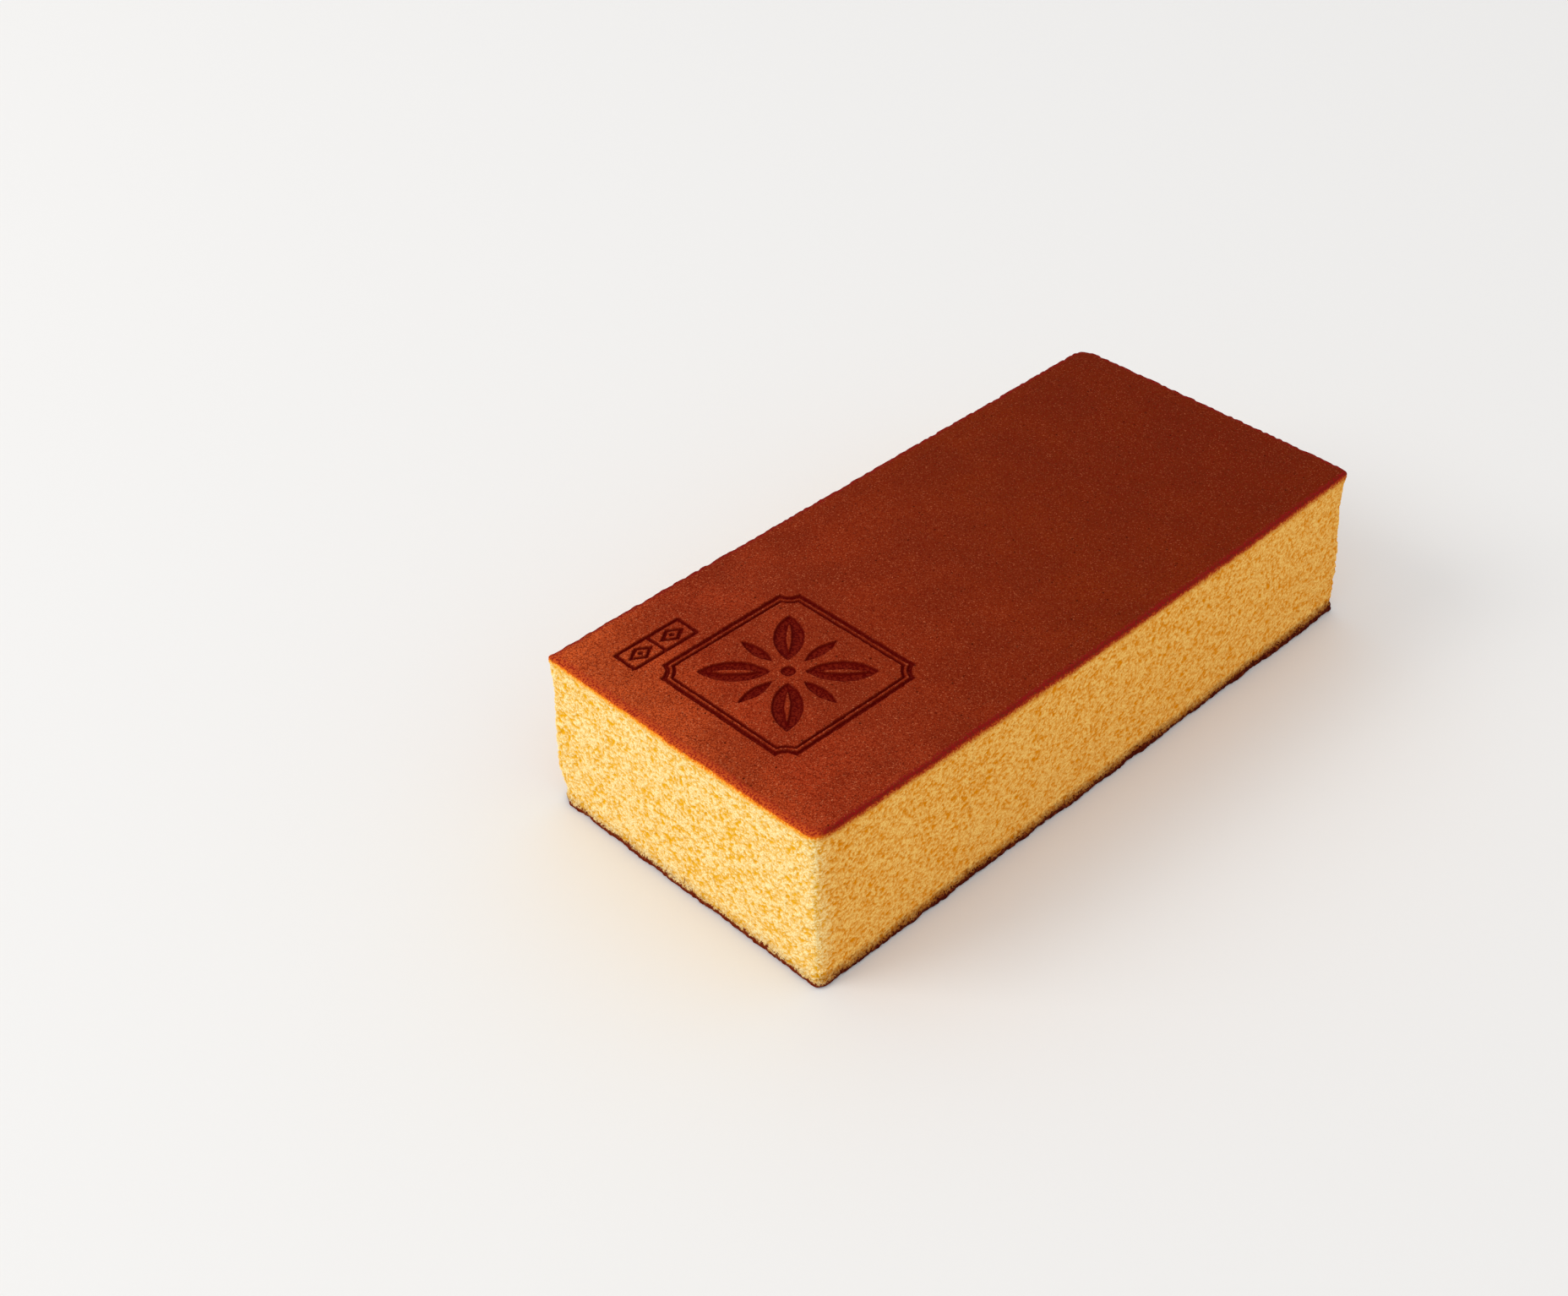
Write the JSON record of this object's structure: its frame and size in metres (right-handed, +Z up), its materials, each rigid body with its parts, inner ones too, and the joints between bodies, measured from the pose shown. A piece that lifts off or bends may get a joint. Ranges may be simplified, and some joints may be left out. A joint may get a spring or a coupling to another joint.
{
  "type": "castella sponge cake",
  "caption": "Whole loaf of plain sponge cake with browned top and base, plain cut sides and a square ornament pressed into the top.",
  "frame": {"origin": "centre of the flat base, on the surface the cake lies on", "axes": "+X along the loaf, away from the pressed ornament; +Y across it, towards the small pressed block; +Z up through the top crust"},
  "size_m": [0.24, 0.111, 0.055],
  "materials": {
    "crumb": "stands in for soft yellow sponge crumb: matt, open and slightly moist, with fine pores",
    "top_crust": "stands in for the thin browned top skin: red-brown, fine-grained, faintly satin, darker where it is pressed",
    "base_crust": "stands in for the thin dark brown baked base: rough and ragged at its edge"
  },
  "bodies": {
    "root": {"castella": "crumb"}
  },
  "joints": []
}
